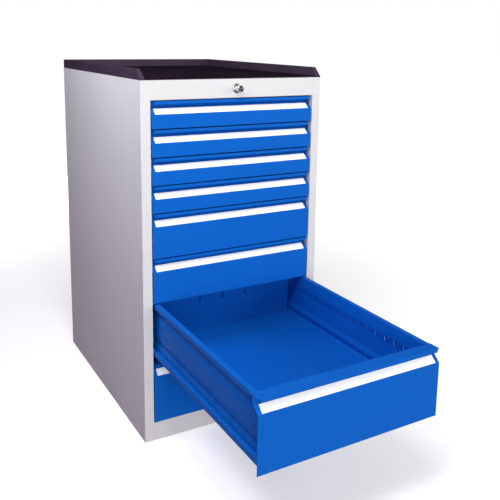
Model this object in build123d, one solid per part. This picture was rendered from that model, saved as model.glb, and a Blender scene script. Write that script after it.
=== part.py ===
from build123d import *
import os

# Workshop drawer cabinet. Millimetres, +Z up, front towards -Y.
# Inside the functions y runs back from the casing's front face; x is centred.

# Casing
case_width = 555.0
case_depth = 736.0
case_gauge = 1.2
case_bend = 2.0
stile_width = 26.5
stile_return = 22.0
back_return = 20.0
back_flange = 12.0
band_low = 53.0
band_high = 52.0

# Drawers from the top down
drawer_heights = [75.0, 75.0, 75.0, 75.0, 125.0, 125.0, 175.0, 175.0]
open_drawer = 7
open_travel = 561.0

# Drawer fronts and grip lips
front_gap = 2.5
front_gauge = 1.0
front_bend = 1.5
fold_drop = 38.0
recess_rise = 22.0
recess_depth = 24.0
front_return = 14.0
front_foot = 20.0
lip_depth = 33.0
lip_hem = 8.0
lip_corner = 7.0

# Label strips on the sloping faces
label_margin = 11.0
label_width = 20.5
label_start = 2.0
label_gauge = 0.8

# Drawer boxes
box_gauge = 1.0
box_depth = 600.0
box_inset = 3.0
flange_width = 13.0
flange_hem = 12.8
bead = 4.0
band_start = 34.0
band_end = 52.0
low_band_height = 16.0
low_band_rise = 4.0
low_band_turn = 14.0
beaded_from = 100.0
twice_beaded_from = 150.0
rear_flange = 10.0
rear_hem = 6.0
floor_step = 2.0

# Divider slots
slot_width = 1.6
slot_pitch = 36.0
slot_first = 72.0
slot_count = 15
slot_steps = [4, 4, 4, 4, 3, 3, 1, 3]
slot_inset = 1.5
rear_slot_width = 3.0
rear_slot_pitch = 75.0
rear_slot_count = 3
rear_slot_top = 8.0

# Runners
run_gap = 0.3
post_depth = 10.8
post_width = 30.0
post_gauge = 1.5
post_front = 50.0
post_back = 640.0
rail_gauge = 1.5
rail_rise = 5.0
rail_web = 21.0
rail_turn = 12.0
rail_start = 46.0
rail_length = 660.0
roller_radius = 8.0
roller_setback = 8.0
roller_sides = 12
member_inset = 4.0
member_width = 10.0
member_height = 14.2
member_side_gap = 1.5
member_start = 24.0
member_length = 640.0
hook_inset = 1.0
hook_drop = 13.5

# Top tray and mat
tray_base = 1.5
tray_rim = 10.0
tray_rise = 28.0
tray_draft = 8.0
tray_front = 27.0
mat_margin = 1.0
mat_base = 1.7
mat_rib = 0.8
mat_pitch = 12.0

# Central lock
lock_drop = 26.0
lock_radius = 9.0
lock_reach = 26.0
lock_travel = 10.0
lock_length = 48.0
lock_edge = 1.0
barrel_wall = 1.7
barrel_length = 24.0
ring_radius = 14.5
ring_gauge = 4.0
plug_radius = 6.0
plug_length = 18.0
keyway_width = 1.6
keyway_height = 8.0
tail_width = 10.0
tail_height = 5.0
tail_length = 22.0
pin_radius = 2.5
pin_inset = 8.0
pin_length = 14.0
bar_gauge = 1.5
bar_front = 31.5
bar_width = 14.0
bar_inset = 3.0
crossbar_overlap = 16.0
crossbar_depth = 24.0
crossbar_drop = 12.0
tongue_height = 8.0
tongue_drop = 27.0
catch_gap = 3.5
catch_height = 10.0
guide_gauge = 1.0
guide_height = 15.0
guide_reach = 9.0
guide_levels = [140.0, 520.0, 860.0]

# How far cutting shapes and sunk ends run past the face they meet
overrun = 1.0

# Values that follow from the sizes above
half = case_width / 2
case_height = band_low + sum(drawer_heights) + band_high
front_half = half - stile_width - front_gap
hem_half = front_half - box_inset
wall_half = hem_half - flange_width
hook_half = front_half - hook_inset
member_half = front_half - member_inset
rail_half = half - case_gauge - post_depth
rail_inner = member_half - member_width - member_side_gap - rail_gauge
roller_low = rail_rise + rail_gauge + run_gap
member_low = roller_low + 2 * roller_radius + run_gap
hook_rise = member_low + member_height + run_gap
floor_rise = hook_rise + floor_step
lock_height = case_height - lock_drop
bar_outer = half - case_gauge - bar_inset + run_gap


def folded(points, gauge, side, bend=0.0):
    # A sheet folded along the points, its gauge laid on the given side.
    # The bend is one radius, or one for each fold.
    path = FilletPolyline(*points, radius=bend) if bend else Polyline(*points)
    return make_face(offset(path, amount=gauge, side=side).edges())


def along_x(profile, start, end):
    return extrude(Plane.YZ.offset(start) * profile, amount=end - start)


def along_y(profile, start, end):
    return extrude(Plane.XZ.offset(-start) * profile, amount=start - end)


def along_z(profile, start, end):
    return extrude(Plane.XY.offset(start) * profile, amount=end - start)


def block(x, y, z):
    corner = (Align.MIN, Align.MIN, Align.MIN)
    return Pos(x[0], y[0], z[0]) * Box(x[1] - x[0], y[1] - y[0], z[1] - z[0], align=corner)


def mirrored(solid):
    return mirror(solid, about=Plane.YZ)


def save(name, solids, shift=0.0):
    # Moves y from the casing's front face to the row's centre.
    placed = [Pos(0, -case_depth / 2 - shift, 0) * solid for solid in solids]
    shape = placed[0] if len(placed) == 1 else Compound(children=placed)
    shape.label = name
    export_step(shape, os.path.join("parts", name + ".step"))


# Casing

def casing_side():
    # Side wall, front stile with its return and back return, from one sheet.
    plan = [
        (-half + stile_width, stile_return),
        (-half + stile_width, 0),
        (-half, 0),
        (-half, case_depth),
        (-half + back_return, case_depth),
    ]
    bends = (0.0, case_bend, case_bend)
    return along_z(folded(plan, case_gauge, Side.RIGHT, bends), case_gauge, case_height - case_gauge)


def casing_back():
    # Back panel, held in front of the side walls' back returns.
    reach = half - case_bend
    rear = case_depth - case_gauge
    plan = [(-reach, rear - back_flange), (-reach, rear), (reach, rear), (reach, rear - back_flange)]
    return along_z(folded(plan, case_gauge, Side.RIGHT), case_gauge, case_height - case_gauge)


def casing_plate(low):
    return block((-half, half), (0, case_depth), (low, low + case_gauge))


def band(low, high, bends):
    # Front band between the stiles, with a return along each edge.
    section = [(stile_return, low), (0, low), (0, high), (stile_return, high)]
    reach = half - stile_width
    return along_x(folded(section, case_gauge, Side.RIGHT, bends), -reach, reach)


def lock_band():
    hole = Circle(lock_radius + barrel_wall + 2 * run_gap)
    bore = along_y(Pos(0, lock_height) * hole, -overrun, stile_return)
    return band(case_height - band_high, case_height - case_gauge, (case_bend, 0.0)) - bore


# Drawers, drawn closed; low and high are the drawer's share of the opening

def front_section(low, high):
    # Foot, face, sloping label face and the wall behind the grip recess.
    return [
        (front_foot, low + front_gap),
        (0, low + front_gap),
        (0, high - fold_drop),
        (recess_depth, high - fold_drop + recess_rise),
        (recess_depth, high - front_gap - box_gauge),
    ]


def drawer_front(low, high):
    bends = (0.0, front_bend, 0.0)
    section = folded(front_section(low, high), front_gauge, Side.RIGHT, bends)
    front = along_x(section, -front_half, front_half)
    cheek = block(
        (-front_half, -front_half + front_gauge),
        (front_gauge, front_return),
        (low + front_gap + front_gauge, high - fold_drop - front_bend),
    )
    return front + cheek + mirrored(cheek)


def front_space(low, high):
    # The front and all that lies before it, which the sides stop behind.
    back = front_gauge
    fold = high - fold_drop - front_gauge
    section = Polyline(
        (-overrun, low),
        (back, low),
        (back, fold),
        (back + recess_depth, fold + recess_rise),
        (back + recess_depth, high),
        (-overrun, high),
        close=True,
    )
    return along_x(make_face(section), -half, half)


def drawer_label(high):
    slope = Plane(
        origin=(0, 0, high - fold_drop),
        x_dir=(1, 0, 0),
        z_dir=(0, -recess_rise, recess_depth),
    )
    strip = Pos(0, label_start + label_width / 2) * Rectangle(2 * (front_half - label_margin), label_width)
    return extrude(slope * strip, amount=label_gauge)


def grip_lip(high):
    # Lip over the recess with rounded front corners, hemmed between them.
    top = high - front_gap
    plate = Pos(0, lip_depth / 2) * Rectangle(2 * front_half, lip_depth)
    plate = fillet(plate.vertices().sort_by(Axis.Y)[:2], lip_corner)
    reach = front_half - lip_corner
    hem = block((-reach, reach), (0, box_gauge), (top - lip_hem, top - box_gauge))
    return along_z(plate, top - box_gauge, top) + hem


def drawer_tray(low, high):
    # Inner front wall, floor and flanged rear wall, folded from one sheet.
    top = high - front_gap
    floor = low + floor_rise
    rear = lip_depth + box_depth
    step = bead if high - low > beaded_from else 0.0
    section = [(lip_depth, top - box_gauge), (lip_depth, floor), (rear + step, floor)]
    if step:
        section += [(rear + step, top - band_end), (rear, top - band_start)]
    section += [(rear, top), (rear + rear_flange, top), (rear + rear_flange, top - rear_hem)]
    tray = along_x(folded(section, box_gauge, Side.RIGHT), -wall_half, wall_half)
    slot_low = max(top - band_end + slot_inset, floor + rear_slot_top)
    for place in range(rear_slot_count):
        x = (place - (rear_slot_count - 1) / 2) * rear_slot_pitch
        tray -= block(
            (x - rear_slot_width / 2, x + rear_slot_width / 2),
            (rear - box_gauge, rear + bead + 2 * box_gauge),
            (slot_low, top - rear_slot_top),
        )
    return tray


def side_section(low, high):
    # Hem, flange, beaded wall and hooked runner flange, from the top down.
    top = high - front_gap
    hook = low + hook_rise
    turn = hook + box_gauge + box_gauge
    points = [(-hem_half, top - flange_hem), (-hem_half, top), (-wall_half, top)]
    if high - low > beaded_from:
        points += [(-wall_half, top - band_start), (-wall_half - bead, top - band_end)]
        if high - low > twice_beaded_from:
            rise = turn + low_band_rise + low_band_height
            points += [(-wall_half - bead, rise + low_band_turn), (-wall_half, rise)]
        points += [(-wall_half - bead, turn + low_band_rise), (-wall_half, turn)]
    points += [(-wall_half, hook), (-hook_half + box_gauge, hook), (-hook_half + box_gauge, hook - hook_drop)]
    return points


def slot_rows(low, high):
    # The heights of the rows of divider slots in a side wall.
    top = high - front_gap
    if high - low <= beaded_from:
        return [(low + floor_rise + rear_slot_top, top - flange_hem - box_gauge)]
    rows = [(top - band_end + slot_inset, top - band_start - slot_inset)]
    if high - low > twice_beaded_from:
        base = low + hook_rise + 2 * box_gauge + low_band_rise
        rows.append((base + slot_inset, base + low_band_height - slot_inset))
    return rows


def drawer_side(low, high, step):
    # Left side with divider slots, its toe shaped to the front's folds.
    section = side_section(low, high)
    rear = lip_depth + box_depth + rear_flange
    wall = along_y(folded(section, box_gauge, Side.RIGHT), lip_depth, rear)
    toe_section = [(-wall_half, high - front_gap - box_gauge)] + section[3:]
    toe = along_y(folded(toe_section, box_gauge, Side.RIGHT), front_gauge, lip_depth)
    side = wall + (toe - front_space(low, high))
    for base, crown in slot_rows(low, high):
        for place in range(0, slot_count, step):
            y = slot_first + place * slot_pitch
            side -= block(
                (-wall_half - bead - 2 * box_gauge, -wall_half + box_gauge),
                (y - slot_width / 2, y + slot_width / 2),
                (base, crown),
            )
    return side


def catch_tab(high):
    # Tab on the right side that the lock's tongue stands in front of.
    root = wall_half + box_gauge / 2
    front = bar_front + bar_gauge + catch_gap
    base = high - tongue_drop - run_gap
    return block((root, hem_half), (front, front + box_gauge), (base, base + catch_height))


# Runners

def rail(low):
    # Fixed rail: web on the posts, shelf and upturned edge.
    base = low + rail_rise
    section = [
        (-rail_half, base + rail_web),
        (-rail_half, base),
        (-rail_inner, base),
        (-rail_inner, base + rail_turn),
    ]
    return along_y(folded(section, rail_gauge, Side.LEFT), rail_start, rail_start + rail_length)


def roller(low):
    centre = low + roller_low + roller_radius
    inner = -rail_inner - rail_gauge
    outer = -member_half + rail_gauge + member_side_gap
    disc = Pos(rail_start + roller_setback, centre) * RegularPolygon(roller_radius, roller_sides)
    return along_x(disc, outer, inner)


def member(low):
    # Intermediate member that runs between the fixed rail and the drawer.
    base = low + member_low
    crown = base + member_height
    inner = -member_half + member_width
    section = [(inner, base), (-member_half, base), (-member_half, crown), (inner, crown)]
    profile = folded(section, rail_gauge, Side.RIGHT)
    return along_y(profile, member_start, member_start + member_length)


def post(front):
    wall = -half + case_gauge
    back = front + post_width
    plan = [(wall, front), (-rail_half, front), (-rail_half, back), (wall, back)]
    return along_z(folded(plan, post_gauge, Side.LEFT), case_gauge, case_height - band_high)


# Top

def top_tray():
    # Moulded tray with a rim on three sides that slopes down at the front.
    body = block((-half, half), (0, case_depth), (case_height, case_height + tray_rise))
    body = fillet(body.edges().filter_by(Axis.Z).sort_by(Axis.Y)[-2:], tray_rim / 2)
    inner_half = half - tray_rim
    pocket = Pos(0, case_depth / 2 - tray_rim) * Rectangle(2 * inner_half, case_depth)
    hollow = extrude(
        Plane.XY.offset(case_height + tray_base) * pocket,
        amount=tray_rise,
        taper=-tray_draft,
    )
    section = Polyline(
        (-overrun, case_height + tray_base),
        (0, case_height + tray_base),
        (tray_front, case_height + tray_rise),
        (tray_front, case_height + tray_rise + overrun),
        (-overrun, case_height + tray_rise + overrun),
        close=True,
    )
    return body - hollow - along_x(make_face(section), -half, half)


def top_mat():
    # Rubber mat with ridges along its width, lying in the tray.
    floor = case_height + tray_base
    crown = floor + mat_base
    count = int((case_depth - tray_rim - 2 * mat_margin) / mat_pitch)
    points = [(mat_margin + count * mat_pitch, floor), (mat_margin, floor), (mat_margin, crown)]
    for place in range(count):
        start = mat_margin + place * mat_pitch
        points += [(start + mat_pitch / 2, crown + mat_rib), (start + mat_pitch, crown)]
    reach = half - tray_rim - mat_margin
    return along_x(make_face(Polyline(*points, close=True)), -reach, reach)


# Lock

def turned(points):
    # Body of revolution about the lock's axis; points are (y, radius).
    outline = Plane.XY * make_face(Polyline(*[(radius, y) for y, radius in points], close=True))
    return Pos(0, 0, lock_height) * revolve(outline, axis=Axis.Y)


def lock_housing():
    bore = lock_radius + run_gap
    barrel = bore + barrel_wall - run_gap
    return turned([
        (-ring_gauge, bore),
        (-ring_gauge, ring_radius - ring_gauge / 2),
        (0, ring_radius),
        (0, barrel + run_gap),
        (barrel_length, barrel + run_gap),
        (barrel_length, bore),
    ])


def lock_cylinder():
    # Popped-out cylinder with a tail and the pin that drives the crossbar.
    body = along_y(Pos(0, lock_height) * Circle(lock_radius), -lock_reach, lock_length - lock_reach)
    body = chamfer(body.edges().filter_by(GeomType.CIRCLE).sort_by(Axis.Y)[0], lock_edge)
    body -= along_y(
        Pos(0, lock_height) * Circle(plug_radius + run_gap),
        -lock_reach - overrun,
        -lock_reach + plug_length + run_gap,
    )
    back = lock_length - lock_reach
    tail = block(
        (-tail_width / 2, tail_width / 2),
        (back - overrun, back + tail_length),
        (lock_height - tail_height / 2, lock_height + tail_height / 2),
    )
    pin_y = back + tail_length - pin_inset
    pin = along_z(Pos(0, pin_y) * Circle(pin_radius), lock_height - tail_height / 2 - pin_length, lock_height)
    return body + tail + pin


def lock_plug():
    plug = along_y(Pos(0, lock_height) * Circle(plug_radius), -lock_reach, -lock_reach + plug_length)
    keyway = block(
        (-keyway_width / 2, keyway_width / 2),
        (-lock_reach - overrun, -lock_reach + plug_length / 2),
        (lock_height - keyway_height / 2, lock_height + keyway_height / 2),
    )
    return plug - keyway


def lock_crossbar():
    # Angle along the top whose slanting slot turns the push into a side move.
    pin_y = lock_length - lock_reach + tail_length - pin_inset
    flange = lock_height - tail_height / 2 - pin_length / 2
    section = [(bar_front, flange - crossbar_drop), (bar_front, flange), (bar_front + crossbar_depth, flange)]
    profile = Pos(-bar_gauge, 0) * folded(section, bar_gauge, Side.RIGHT)
    bar = along_x(profile, -crossbar_overlap, bar_outer)
    reach = lock_travel * 2 ** 0.5
    slot = Rot(0, 0, 45) * SlotCenterToCenter(reach, 2 * (pin_radius + run_gap))
    centre = Pos(lock_travel / 2, pin_y + lock_travel / 2)
    return bar - along_z(centre * slot, flange - 2 * bar_gauge, flange + bar_gauge)


def lock_bar():
    # Upright strip with a tongue beside each drawer.
    flange = lock_height - tail_height / 2 - pin_length / 2
    depth = (bar_front, bar_front + bar_gauge)
    bar = block((bar_outer - bar_width, bar_outer), depth, (band_low, flange - bar_gauge))
    tip = front_half + front_gap + run_gap
    for low, high in shares():
        base = high - tongue_drop
        bar += block((tip, bar_outer - bar_width), depth, (base, base + tongue_height))
    return bar


def lock_guide(level):
    # Clip on the side wall that the bar slides in.
    near = bar_front - run_gap - guide_gauge
    far = bar_front + bar_gauge + run_gap + guide_gauge
    wall = half - case_gauge
    plan = [(wall - guide_reach, near), (wall, near), (wall, far), (wall - guide_reach, far)]
    return along_z(folded(plan, guide_gauge, Side.LEFT), level, level + guide_height)


def lock_hanger():
    # Clip under the casing's top that carries the crossbar's free end.
    flange = lock_height - tail_height / 2 - pin_length / 2
    rear = bar_front - bar_gauge + crossbar_depth
    hang = rear + run_gap
    top = case_height - case_gauge
    lip = flange - bar_gauge - run_gap - guide_gauge
    back = hang + guide_gauge
    section = [(hang - guide_reach, lip), (back, lip), (back, top), (hang - guide_reach, top)]
    start = tail_width + guide_reach
    return along_x(folded(section, guide_gauge, Side.LEFT), start, start + guide_reach)


# Assembly

def shares():
    # Each drawer's bottom and top in the opening, from the top drawer down.
    spans = []
    high = case_height - band_high
    for height in drawer_heights:
        spans.append((high - height, high))
        high -= height
    return spans


def make_casing():
    side = casing_side()
    save("casing_side_left", [side])
    save("casing_side_right", [mirrored(side)])
    save("casing_back", [casing_back()])
    save("casing_top", [casing_plate(case_height - case_gauge)])
    save("casing_base", [casing_plate(0)])
    save("band_high", [lock_band()])
    save("band_low", [band(case_gauge, band_low, (0.0, case_bend))])
    posts = [post(post_front), post(post_back)]
    save("rail_posts", posts + [mirrored(solid) for solid in posts])
    rails = [rail(low) for low, high in shares()]
    save("rails_left", rails)
    save("rails_right", [mirrored(solid) for solid in rails])
    rollers = [roller(low) for low, high in shares()]
    save("rail_rollers", rollers + [mirrored(solid) for solid in rollers])
    save("top_tray", [top_tray()])
    save("top_mat", [top_mat()])


def make_lock():
    save("lock_housing", [lock_housing()])
    save("lock_cylinder", [lock_cylinder()])
    save("lock_plug", [lock_plug()])
    save("lock_crossbar", [lock_crossbar()])
    save("lock_bar", [lock_bar()])
    save("lock_guides", [lock_guide(level) for level in guide_levels] + [lock_hanger()])


def make_drawers():
    for number, ((low, high), step) in enumerate(zip(shares(), slot_steps), start=1):
        shift = open_travel if number == open_drawer else 0.0
        name = "drawer_" + str(number)
        save(name + "_front", [drawer_front(low, high)], shift)
        save(name + "_label", [drawer_label(high)], shift)
        save(name + "_tray", [drawer_tray(low, high), grip_lip(high)], shift)
        side = drawer_side(low, high, step)
        save(name + "_sides", [side, mirrored(side) + catch_tab(high)], shift)
        runner = member(low)
        save(name + "_runners", [runner, mirrored(runner)], shift / 2)


os.makedirs("parts", exist_ok=True)
make_casing()
make_lock()
make_drawers()
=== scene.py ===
from math import atan2, pi

import bmesh
import bpy
from mathutils import Matrix, Vector


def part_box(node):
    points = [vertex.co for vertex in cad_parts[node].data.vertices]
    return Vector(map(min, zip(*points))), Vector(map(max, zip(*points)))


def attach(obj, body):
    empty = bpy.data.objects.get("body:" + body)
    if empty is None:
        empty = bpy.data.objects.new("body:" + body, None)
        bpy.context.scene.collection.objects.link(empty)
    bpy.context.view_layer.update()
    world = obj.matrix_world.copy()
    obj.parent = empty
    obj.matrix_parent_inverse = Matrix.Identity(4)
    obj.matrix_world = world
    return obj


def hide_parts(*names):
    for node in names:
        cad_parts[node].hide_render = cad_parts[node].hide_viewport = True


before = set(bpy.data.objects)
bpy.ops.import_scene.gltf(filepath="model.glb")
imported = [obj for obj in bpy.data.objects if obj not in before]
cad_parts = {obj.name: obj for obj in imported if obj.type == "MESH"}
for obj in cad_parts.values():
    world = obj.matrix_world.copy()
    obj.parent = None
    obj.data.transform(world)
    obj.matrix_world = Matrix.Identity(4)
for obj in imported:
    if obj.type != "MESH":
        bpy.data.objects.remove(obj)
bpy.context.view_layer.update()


# Casing. Two side sheets with folded stiles, a back, a top, a base and two
# front bands, welded into one box and powder coated light grey. The coat has
# a fine orange peel, a little drift in shade and scuffs near the floor.
class Blend:
    """A socket in a finish, so that the finish reads as sums and products."""

    def __init__(self, tree, socket=None):
        self.tree = tree
        self.socket = socket

    def node(self, kind, settings=None, sockets=None, out=0):
        made = self.tree.nodes.new("ShaderNode" + kind)
        for key, value in (settings or {}).items():
            setattr(made, key, value)
        for key, value in (sockets or {}).items():
            if isinstance(value, Blend):
                self.tree.links.new(value.socket, made.inputs[key])
            else:
                made.inputs[key].default_value = value
        return Blend(self.tree, made.outputs[out])

    def maths(self, operation, first, second):
        return self.node("Math", {"operation": operation}, {0: first, 1: second})

    def __add__(self, other):
        return self.maths("ADD", self, other)

    def __radd__(self, other):
        return self.maths("ADD", other, self)

    def __sub__(self, other):
        return self.maths("SUBTRACT", self, other)

    def __rsub__(self, other):
        return self.maths("SUBTRACT", other, self)

    def __mul__(self, other):
        return self.maths("MULTIPLY", self, other)

    def __rmul__(self, other):
        return self.maths("MULTIPLY", other, self)

    def between(self, low, high):
        """A smooth rise from 0 at the low value to 1 at the high one."""
        ends = {"Value": self, "From Min": low, "From Max": high}
        return self.node("MapRange", {"interpolation_type": "SMOOTHSTEP"}, ends)

    def speckle(self, scale, detail=2.0, roughness=0.5):
        values = {"Vector": self, "Scale": scale, "Detail": detail, "Roughness": roughness}
        return self.node("TexNoise", None, values)

    def stretched(self, scale):
        return self.node("Mapping", None, {"Vector": self, "Scale": scale})

    def height(self):
        return self.node("SeparateXYZ", None, {0: self}, "Z")

    def rounded_edge(self, radius):
        """The normal with sheet edges rounded off, and how near an edge is."""
        soft = self.node("Bevel", {"samples": 6}, {"Radius": radius})
        plain = self.node("NewGeometry", out="Normal")
        ends = {0: soft, 1: plain}
        level = self.node("VectorMath", {"operation": "DOT_PRODUCT"}, ends, "Value")
        return soft, 1.0 - level

    def tinted(self, other, share):
        ends = {"Factor": share, "A": self, "B": other}
        return self.node("Mix", {"data_type": "RGBA"}, ends, "Result")

    def bump(self, distance, normal=None):
        ends = {"Height": self, "Distance": distance}
        if normal:
            ends["Normal"] = normal
        return self.node("Bump", None, ends)


def finish(name, colour):
    """A new finish: the material, its shader and the place on the piece."""
    made = bpy.data.materials.new(name)
    made["slot"] = name
    made.use_nodes = True
    made.diffuse_color = (*colour, 1.0)
    tree = made.node_tree
    place = Blend(tree).node("TexCoord", out="Object")
    return made, tree.nodes["Principled BSDF"], place


def lead(value, shader, name):
    value.tree.links.new(value.socket, shader.inputs[name])


def shade(place, first, second, share):
    """A colour between two plain ones."""
    start = place.node("RGB")
    start.socket.default_value = (*first, 1.0)
    return start.tinted((*second, 1.0), share)


def powder_coat(name, colour, wear_and_highlight, gloss, glint):
    """Sprayed and baked coat with orange peel, its sheet edges tinted with a second colour: wear
    where that colour is darker, painted highlight where it is lighter.
    """
    edge_radius, scuff_height, peel_depth = 0.0009, 0.09, 0.00004
    made, shader, place = finish(name, colour)
    cloud = place.speckle(3.1)
    drift = place.speckle(14.0, 3.0)
    peel = place.speckle(430.0, 1.0) + 0.2 * place.speckle(1900.0, 1.0)
    soft, edge = place.rounded_edge(edge_radius)
    wear_and_highlight_share = edge.between(0.03, 0.2) * drift.between(0.52, 0.7)
    near_floor = 1.0 - place.height().between(0.0, scuff_height)
    scuff = near_floor * drift.between(0.5, 0.62)
    darker = [value * 0.955 for value in colour]
    lighter = [min(1.0, value * 1.04) for value in colour]
    coat = shade(place, darker, lighter, cloud)
    # The second colour tinted in along the sheet edges is wear on the grey casing and painted
    # highlight, edges lit as if catching the light, on the blue drawers.
    lead(coat.tinted((*wear_and_highlight, 1.0), wear_and_highlight_share * 0.5 + scuff * 0.14), shader, "Base Color")
    lead(gloss + 0.1 * cloud - 0.06 * drift + 0.2 * scuff, shader, "Roughness")
    lead(peel.bump(peel_depth, soft), shader, "Normal")
    shader.inputs["Specular IOR Level"].default_value = glint
    tint = [min(1.0, 0.25 + value) for value in colour]
    shader.inputs["Specular Tint"].default_value = (*tint, 1.0)
    return made


def coat_nodes(made, *nodes):
    for node in nodes:
        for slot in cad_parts[node].material_slots:
            slot.material = made


casing_grey = powder_coat("casing_grey", (0.66, 0.664, 0.645), (0.42, 0.42, 0.41), 0.4, 0.35)
coat_nodes(casing_grey, "casing_side_left", "casing_side_right", "casing_back", "casing_top")
coat_nodes(casing_grey, "casing_base", "band_high", "band_low")


# Rails and runners. Rolled channels of zinc-plated steel: the rails are
# hooked into four upright posts, and the inner channels slide between the
# rails and the drawers. The plating is streaked along the rolling direction.
def zinc_plate(name):
    edge_radius, streak_depth = 0.0006, 0.00004
    made, shader, place = finish(name, (0.55, 0.56, 0.57))
    streak = place.stretched((60.0, 2.0, 60.0)).speckle(9.0, 4.0, 0.6)
    bloom = place.speckle(26.0, 4.0, 0.6)
    soft, edge = place.rounded_edge(edge_radius)
    plate = shade(place, (0.36, 0.37, 0.39), (0.62, 0.62, 0.6), streak * 0.6 + bloom * 0.4)
    wear_and_highlight_share = edge.between(0.02, 0.2) * 0.5
    lead(plate.tinted((0.7, 0.7, 0.7, 1.0), wear_and_highlight_share), shader, "Base Color")
    lead(0.28 + 0.22 * bloom, shader, "Roughness")
    lead(streak.bump(streak_depth, soft), shader, "Normal")
    shader.inputs["Metallic"].default_value = 0.9
    return made


zinc_steel = zinc_plate("zinc_steel")
coat_nodes(zinc_steel, "rail_posts", "rails_left", "rails_right")
for number in range(1, 9):
    coat_nodes(zinc_steel, "drawer_" + str(number) + "_runners")


# Rollers. Small dished wheels moulded in black plastic, with a rounded tread,
# one carried between the walls of each rail at its front end.
def moulding(name, colour, wear_and_highlight, grain_size, gloss, glint=0.12):
    """Moulded black plastic or rubber, grained, its edges tinted lighter: wear and dust, and on the
    tray also painted highlight.
    """
    edge_radius, grain_depth = 0.0012, 0.00008
    made, shader, place = finish(name, colour)
    grain = place.speckle(grain_size, 2.0, 0.6)
    cloud = place.speckle(7.0, 3.0)
    soft, edge = place.rounded_edge(edge_radius)
    wear_and_highlight_share = edge.between(0.02, 0.2) * cloud.between(0.35, 0.65)
    darker = [value * 0.8 for value in colour]
    lighter = [value * 1.25 for value in colour]
    body = shade(place, darker, lighter, cloud)
    # The lighter edge colour is rubbing on the rollers, dust on the mat and, on the tray, partly
    # painted highlight along the rim edges.
    lead(body.tinted((*wear_and_highlight, 1.0), wear_and_highlight_share * 0.6), shader, "Base Color")
    lead(gloss + 0.1 * cloud - 0.08 * grain, shader, "Roughness")
    lead(grain.bump(grain_depth, soft), shader, "Normal")
    shader.inputs["Specular IOR Level"].default_value = glint
    return made


def shown(name, shape, made, body, *nodes):
    """Puts a finished shape in the scene in place of the nodes it stands for."""
    mesh = bpy.data.meshes.new(name)
    shape.to_mesh(mesh)
    shape.free()
    mesh.materials.append(made)
    piece = bpy.data.objects.new(name, mesh)
    bpy.context.scene.collection.objects.link(piece)
    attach(piece, body)
    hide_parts(*nodes)


def moved(shape, step):
    bmesh.ops.translate(shape, vec=step, verts=shape.verts)


def bevelled(shape, edges, radius, steps):
    bmesh.ops.bevel(
        shape, geom=edges, offset=radius, offset_type="OFFSET", segments=steps,
        profile=0.5, affect="EDGES", clamp_overlap=True, material=-1,
    )


def sharp(shape, least=0.5):
    """The edges where two faces meet at a turn of more than least radians."""
    closed = [edge for edge in shape.edges if len(edge.link_faces) == 2]
    return [edge for edge in closed if edge.calc_face_angle() > least]


def spun(outline, axis, steps):
    """A solid turned about the axis through the origin; points are (along, radius)."""
    shape = bmesh.new()
    way, across = Vector(axis), Vector((0, 0, 1))
    dots = [shape.verts.new(way * along + across * radius) for along, radius in outline]
    ring = [shape.edges.new(pair) for pair in zip(dots, dots[1:])]
    hollow = outline[0][1] > 0.0
    if hollow:
        ring.append(shape.edges.new((dots[-1], dots[0])))
    bmesh.ops.spin(
        shape, geom=dots + ring, cent=(0, 0, 0), axis=axis, angle=2 * pi,
        steps=steps, use_merge=True,
    )
    bmesh.ops.remove_doubles(shape, verts=shape.verts, dist=0.000001)
    bmesh.ops.recalc_face_normals(shape, faces=shape.faces)
    return shape


opening_top = 0.953
drawer_heights = (0.075, 0.075, 0.075, 0.075, 0.125, 0.125, 0.175, 0.175)
drawer_feet = [opening_top - sum(drawer_heights[: place + 1]) for place in range(8)]
drawer_crowns = [opening_top - sum(drawer_heights[:place]) for place in range(8)]
tread_radius, tread_width, tread_round = 0.008, 0.0085, 0.0008
hub_radius, dish_radius, dish_depth = 0.0025, 0.0062, 0.0015
wheel_aside, wheel_forward, wheel_rise = 0.23725, -0.314, 0.0148
near, deep = tread_width / 2, tread_width / 2 - dish_depth
wheel_half = [
    (near, 0.0), (near, hub_radius), (deep, hub_radius),
    (deep, dish_radius), (near, dish_radius), (near, tread_radius),
]
wheel_outline = wheel_half + [(-along, radius) for along, radius in reversed(wheel_half)]
outside_dish = (dish_radius + tread_radius) / 2
wheels = bmesh.new()
for foot in drawer_feet:
    for hand in (-1.0, 1.0):
        wheel = spun(wheel_outline, (1, 0, 0), 24)
        corners = [edge for edge in sharp(wheel) if edge.verts[0].co.yz.length > outside_dish]
        bevelled(wheel, corners, tread_round, 2)
        moved(wheel, (hand * wheel_aside, wheel_forward, foot + wheel_rise))
        scrap = bpy.data.meshes.new("wheel")
        wheel.to_mesh(scrap)
        wheel.free()
        wheels.from_mesh(scrap)
        bpy.data.meshes.remove(scrap)
roller_black = moulding("roller_black", (0.02, 0.02, 0.02), (0.06, 0.06, 0.06), 1500.0, 0.45)
shown("runner_wheels", wheels, roller_black, "cabinet", "rail_rollers")


# Drawer boxes. A folded tray with the grip lip in front of it and two beaded,
# slotted sides, welded together and powder coated blue.
# The light blue second colour is painted highlight along the drawers' sheet edges.
drawer_blue = powder_coat("drawer_blue", (0.004, 0.115, 0.495), (0.04, 0.24, 0.74), 0.42, 0.12)
for number in range(1, 9):
    for part in ("tray", "sides"):
        coat_nodes(drawer_blue, "drawer_" + str(number) + "_" + part)


# Drawer faces. One sheet each, folded back to carry the label strip and up
# behind the grip recess, with small bend radii and a foot that stops short of
# the ends. They are welded to the boxes and coated together with them.
casing_face = -0.368
open_travel = 0.561
drawer_faces = [casing_face - (open_travel if number == 7 else 0.0) for number in range(1, 9)]
face_half, face_gap, foot_gap, sheet = 0.2485, 0.0025, 0.0008, 0.001
fold_drop, recess_rise, recess_depth = 0.038, 0.022, 0.024
foot_depth, foot_inset = 0.020, 0.016
outer_bend = 0.0015
least_fold, most_fold = 0.3, 1.2


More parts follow.
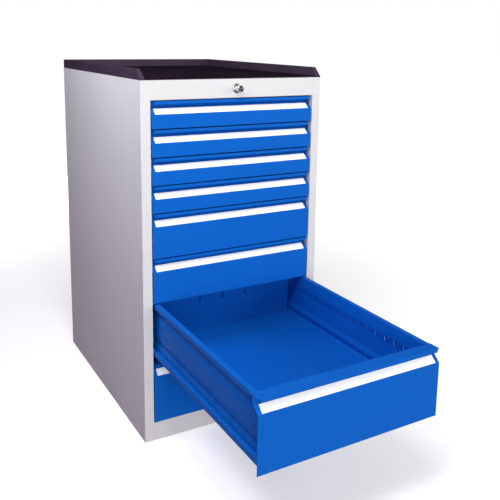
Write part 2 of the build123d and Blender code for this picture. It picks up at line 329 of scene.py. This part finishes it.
def new_points(made):
    return [item for item in made["geom"] if isinstance(item, bmesh.types.BMVert)]


def block(shape, size, middle):
    """Adds a plain box to a shape."""
    corners = bmesh.ops.create_cube(shape, size=1.0)["verts"]
    bmesh.ops.scale(shape, vec=size, verts=corners)
    bmesh.ops.translate(shape, vec=middle, verts=corners)


def folded_face(low, high):
    shape = bmesh.new()
    section = (
        (0.0, low + foot_gap),
        (0.0, high - fold_drop),
        (recess_depth, high - fold_drop + recess_rise),
        (recess_depth, high - face_gap - sheet),
    )
    corners = [shape.verts.new((-face_half, y, z)) for y, z in section]
    chain = [shape.edges.new(pair) for pair in zip(corners, corners[1:])]
    swept = bmesh.ops.extrude_edge_only(shape, edges=chain)
    bmesh.ops.translate(shape, vec=(2 * face_half, 0, 0), verts=new_points(swept))
    shape.normal_update()
    backward = [face for face in shape.faces if face.normal.y > 0.0]
    bmesh.ops.reverse_faces(shape, faces=backward)
    bmesh.ops.solidify(shape, geom=shape.faces[:], thickness=sheet)
    folds = [
        edge for edge in sharp(shape, least_fold)
        if edge.calc_face_angle() < most_fold
        and abs(edge.verts[0].co.x - edge.verts[1].co.x) > face_half
        and edge.verts[0].co.y < sheet / 10
    ]
    bevelled(shape, folds, outer_bend, 4)
    foot_size = (2 * (face_half - foot_inset), foot_depth - sheet, sheet)
    block(shape, foot_size, (0, (foot_depth + sheet) / 2, low + foot_gap + sheet / 2))
    return shape


for number, (low, high, front) in enumerate(zip(drawer_feet, drawer_crowns, drawer_faces), start=1):
    face = folded_face(low, high)
    moved(face, (0, front, 0))
    drawer = "drawer_" + str(number)
    shown(drawer + "_face", face, drawer_blue, drawer, drawer + "_front")


# Label strips. White card under a clear film, one along each sloping face,
# cut with small round corners and held by its own stiffness in the groove.
def card(name):
    fibre_share, hand_depth = 0.5, 0.0001
    made, shader, place = finish(name, (0.9, 0.9, 0.9))
    fibre = place.speckle(900.0, 3.0, 0.65)
    hand = place.speckle(9.0, 3.0)
    mottle = fibre * fibre_share + hand * (1.0 - fibre_share)
    lead(shade(place, (0.86, 0.86, 0.86), (0.95, 0.95, 0.95), mottle), shader, "Base Color")
    lead(0.3 + 0.12 * hand, shader, "Roughness")
    lead(hand.bump(hand_depth), shader, "Normal")
    shader.inputs["Coat Roughness"].default_value = 0.12
    shader.inputs["Coat Weight"].default_value = 0.3
    # The emission is painted light: a faint glow that keeps the white cards bright even in shade.
    shader.inputs["Emission Color"].default_value = (0.9, 0.95, 1.0, 1.0)
    shader.inputs["Emission Strength"].default_value = 0.22
    return made


label_white = card("label_white")
strip_length, strip_width, strip_thick = 0.475, 0.0205, 0.0008
strip_corner, strip_round = 0.0012, 0.0002
strip_lean = Matrix.Rotation(atan2(recess_rise, recess_depth), 3, "X")
strip_middle = 0.01225
for number, (crown, front) in enumerate(zip(drawer_crowns, drawer_faces), start=1):
    strip = bmesh.new()
    block(strip, (strip_length, strip_width, strip_thick), (0, 0, 0))
    corners = [
        edge for edge in strip.edges
        if abs(edge.verts[0].co.z - edge.verts[1].co.z) > strip_thick / 2
    ]
    bevelled(strip, corners, strip_corner, 3)
    brim = [edge for edge in sharp(strip, 1.0) if min(vert.co.z for vert in edge.verts) > 0.0]
    bevelled(strip, brim, strip_round, 2)
    moved(strip, (0, strip_middle, strip_thick / 2))
    bmesh.ops.rotate(strip, cent=(0, 0, 0), matrix=strip_lean, verts=strip.verts)
    moved(strip, (0, front, crown - fold_drop))
    drawer = "drawer_" + str(number)
    shown(drawer + "_card", strip, label_white, drawer, drawer + "_label")


# Top tray. One moulding in black polystyrene lying on the casing's top, with
# a drafted rim on three sides that runs out in a slope at the front corners.
tray_width, tray_depth = 0.555, 0.736
tray_low, tray_floor, tray_crown = 1.005, 1.0065, 1.033
tray_rim, tray_slope, rim_draft, rim_round = 0.010, 0.027, 0.14, 0.0014
spare = 0.03
tray_size = (tray_width, tray_depth + spare, tray_crown - tray_low)


def cut(shape, point, way, clear_outer):
    everything = shape.verts[:] + shape.edges[:] + shape.faces[:]
    bmesh.ops.bisect_plane(
        shape, geom=everything, plane_co=point, plane_no=way, clear_outer=clear_outer
    )


tray = bmesh.new()
block(tray, tray_size, (0, -spare / 2, (tray_crown + tray_low) / 2))
tray.normal_update()
lid = [face for face in tray.faces if face.normal.z > 0.9]
bmesh.ops.inset_region(tray, faces=lid, thickness=tray_rim, use_even_offset=True)
sunk = bmesh.ops.extrude_face_region(tray, geom=lid)
bmesh.ops.delete(tray, geom=lid, context="FACES_ONLY")
well = new_points(sunk)
bmesh.ops.translate(tray, vec=(0, 0, tray_floor - tray_crown), verts=well)
draft = 2 * (tray_crown - tray_floor) * rim_draft
bmesh.ops.scale(
    tray, vec=(1 - draft / tray_width, 1 - draft / tray_depth, 1.0), verts=well,
    space=Matrix.Translation((0, spare / 2, 0)),
)
cuts = (
    ((0, casing_face, tray_floor), (0, tray_floor - tray_crown, tray_slope)),
    ((0, casing_face, tray_low), (0, -1, 0)),
)
for point, way in cuts:
    cut(tray, point, way, True)
    bmesh.ops.holes_fill(tray, edges=[edge for edge in tray.edges if edge.is_boundary], sides=0)
bmesh.ops.remove_doubles(tray, verts=tray.verts, dist=0.00001)
bmesh.ops.recalc_face_normals(tray, faces=tray.faces)
rear_corners = [
    edge for edge in sharp(tray)
    if edge.verts[0].co.xy == edge.verts[1].co.xy
    and edge.verts[0].co.y > tray_depth / 2 - rim_round
]
bevelled(tray, rear_corners, tray_rim / 2, 4)
over_floor = tray_floor + 0.002
brim = [edge for edge in sharp(tray) if min(vert.co.z for vert in edge.verts) > over_floor]
bevelled(tray, brim, rim_round, 3)
# The tray's lighter edge colour stands partly for whitened rubbing and partly for painted highlight
# along the rim.
tray_black = moulding("tray_black", (0.042, 0.029, 0.048), (0.16, 0.14, 0.16), 1100.0, 0.5)
shown("black_tray", tray, tray_black, "cabinet", "top_tray")


# Mat. Black fluted rubber cut to fit inside the tray, its flutes running
# from side to side, dusty between them.
mat_low, mat_high = (Vector(corner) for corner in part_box("top_mat"))
flute_pitch, flute_lean = 0.003, 0.0003
flute_rise = Vector((0, 0, 0.0008))
flutes = round((mat_high.y - mat_low.y) / flute_pitch)
mat = bmesh.new()
block(mat, mat_high - mat_low - flute_rise, (mat_low + mat_high) / 2 - flute_rise / 2)
runs = [edge for edge in mat.edges if abs(edge.verts[0].co.y - edge.verts[1].co.y) > flute_pitch]
bmesh.ops.subdivide_edges(mat, edges=runs, cuts=2 * flutes - 1, use_grid_fill=True)
strips = [face for face in mat.faces if face.normal.z > 0.9]
strips.sort(key=lambda face: face.calc_center_median().y)
bmesh.ops.inset_individual(mat, faces=strips[::2], thickness=flute_lean, depth=flute_rise.z)
mat_rubber = moulding("mat_rubber", (0.010, 0.005, 0.012), (0.02, 0.015, 0.02), 800.0, 0.85, 0.05)
shown("fluted_mat", mat, mat_rubber, "cabinet", "top_mat")


# Lock. Turned brass: a chromed ring clamped on the band, the chromed cylinder
# that springs out when unlocked, and in it the plain plug with its keyway.
def turned_brass(name, dull, bright):
    edge_radius, mark_depth = 0.0004, 0.00001
    made, shader, place = finish(name, bright)
    haze = place.speckle(60.0, 3.0)
    mark = place.speckle(700.0)
    soft, edge = place.rounded_edge(edge_radius)
    lead(shade(place, dull, bright, haze), shader, "Base Color")
    lead(0.1 + 0.14 * haze + 0.1 * edge.between(0.1, 0.4), shader, "Roughness")
    lead(mark.bump(mark_depth, soft), shader, "Normal")
    shader.inputs["Metallic"].default_value = 1.0
    return made


lock_chrome = turned_brass("lock_chrome", (0.62, 0.61, 0.62), (0.8, 0.8, 0.8))
plug_brass = turned_brass("plug_brass", (0.68, 0.52, 0.46), (0.88, 0.7, 0.62))
plug_brass["slot"] = "lock_chrome"
lock_centre = Vector((0.0, casing_face, 0.979))
bore, neck_radius, neck_length = 0.0093, 0.011, 0.024
ring_radius, ring_front_radius, ring_thick, ring_round = 0.0145, 0.0125, 0.004, 0.0008
ring = spun(
    [
        (-ring_thick, bore), (-ring_thick, ring_front_radius), (0.0, ring_radius),
        (0.0, neck_radius), (neck_length, neck_radius), (neck_length, bore),
    ],
    (0, 1, 0), 64,
)
rims = [
    edge for edge in sharp(ring, 0.4)
    if max(vert.co.y for vert in edge.verts) < -ring_thick / 2
]
bevelled(ring, rims, ring_round, 3)
moved(ring, lock_centre)
shown("lock_ring", ring, lock_chrome, "cabinet", "lock_housing")

plug_radius, plug_length, plug_face = 0.006, 0.018, -0.026
plug_tail = plug_face + plug_length
keyway_width, keyway_height = 0.0016, 0.008
plug = spun(
    [(plug_face, 0.0), (plug_face, plug_radius), (plug_tail, plug_radius), (plug_tail, 0.0)],
    (0, 1, 0), 48,
)
for axis, width in ((Vector((1, 0, 0)), keyway_width), (Vector((0, 0, 1)), keyway_height)):
    for hand in (-1.0, 1.0):
        cut(plug, axis * (width / 2) * hand, axis, False)
mouth = [
    face for face in plug.faces
    if face.normal.y < -0.9
    and abs(face.calc_center_median().x) < keyway_width / 2
    and abs(face.calc_center_median().z) < keyway_height / 2
]
sunk = bmesh.ops.extrude_face_region(plug, geom=mouth)
bmesh.ops.delete(plug, geom=mouth, context="FACES")
bmesh.ops.translate(plug, vec=(0, plug_length / 2, 0), verts=new_points(sunk))
moved(plug, lock_centre)
bmesh.ops.recalc_face_normals(plug, faces=plug.faces)
shown("lock_plug_turned", plug, plug_brass, "lock_turn", "lock_plug")
coat_nodes(lock_chrome, "lock_cylinder")
coat_nodes(zinc_steel, "lock_guides", "lock_crossbar", "lock_bar")


# Studio. A plain pale floor that fades into white all round, soft lights in
# front, on the right and over the near left corner, and two more for the back
# and the right flank.
floor_mesh = bpy.data.meshes.new("floor")
ground = bmesh.new()
bmesh.ops.create_grid(ground, x_segments=1, y_segments=1, size=40.0)
ground.to_mesh(floor_mesh)
ground.free()
floor = bpy.data.objects.new("floor", floor_mesh)
bpy.context.scene.collection.objects.link(floor)
pale, shader, place = finish("floor_pale", (0.85, 0.85, 0.85))
seen = place.node("LightPath", out="Is Camera Ray")
fade_start, fade_end = 0.6, 3.5
away = place.node("VectorMath", {"operation": "LENGTH"}, {0: place}, "Value")
lead(shade(place, (0.31, 0.24, 0.33), (0.9, 0.9, 0.9), seen), shader, "Base Color")
glow = seen * (0.35 + 0.65 * away.between(fade_start, fade_end))
lead(shade(place, (0.0, 0.0, 0.0), (1.0, 1.0, 1.0), glow), shader, "Emission Color")
shader.inputs["Emission Strength"].default_value = 1.0
shader.inputs["Roughness"].default_value = 0.9
shader.inputs["Specular IOR Level"].default_value = 0.0
floor_mesh.materials.append(pale)

world = bpy.data.worlds.new("studio")
bpy.context.scene.world = world
world.use_nodes = True
sky = Blend(world.node_tree)
seen = sky.node("LightPath", out="Is Camera Ray")
backdrop = world.node_tree.nodes["Background"]
lead(shade(sky, (0.04, 0.032, 0.046), (1.0, 1.0, 1.0), seen), backdrop, "Color")
backdrop.inputs["Strength"].default_value = 1.0


def softbox(name, place, aim, size, watts, tint=(1.0, 1.0, 1.0)):
    lamp = bpy.data.lights.new(name, "AREA")
    lamp.shape = "RECTANGLE"
    lamp.size, lamp.size_y = size
    lamp.energy = watts
    lamp.color = tint
    holder = bpy.data.objects.new(name, lamp)
    holder.location = place
    holder.rotation_mode = "QUATERNION"
    holder.rotation_quaternion = (Vector(aim) - Vector(place)).to_track_quat("-Z", "Y")
    holder.visible_camera = False
    bpy.context.scene.collection.objects.link(holder)


violet = (1.0, 0.97, 1.1)
softbox("front_light", (-0.9, -4.5, 0.8), (0.0, -0.4, 0.5), (1.5, 1.5), 95.0)
softbox("right_light", (2.6, -2.6, 1.6), (0.0, -0.6, 0.6), (1.6, 2.0), 48.0)
softbox("high_light", (-0.5, -1.4, 2.3), (-0.1, -0.4, 0.8), (0.6, 0.6), 17.0)
softbox("corner_light", (-1.3, -1.4, 1.9), (-0.28, -0.3, 0.9), (0.6, 0.6), 9.5, violet)
softbox("side_light", (-0.95, -0.25, 1.7), (-0.28, -0.2, 0.8), (0.4, 0.4), 11.0, violet)
softbox("rear_light", (0.6, 3.4, 0.5), (0.0, 0.3, 0.45), (1.6, 0.8), 45.0)
softbox("flank_light", (3.4, -0.3, 1.0), (0.0, 0.0, 0.5), (1.6, 1.2), 34.0)

lens = bpy.data.cameras.new("camera")
lens.lens = 49.455
lens.sensor_width = 36.0
lens.shift_y = -0.17
camera = bpy.data.objects.new("camera", lens)
eye = (-0.8981, -2.0188, 1.1144)
right = Vector((0.86943, -0.49386, 0.01419))
up = Vector((0.07772, 0.16507, 0.98322))
turn = Matrix((right, up, right.cross(up))).transposed().to_4x4()
camera.matrix_world = Matrix.Translation(eye) @ turn
bpy.context.scene.collection.objects.link(camera)
bpy.context.scene.camera = camera
bpy.context.scene.view_settings.view_transform = "Standard"
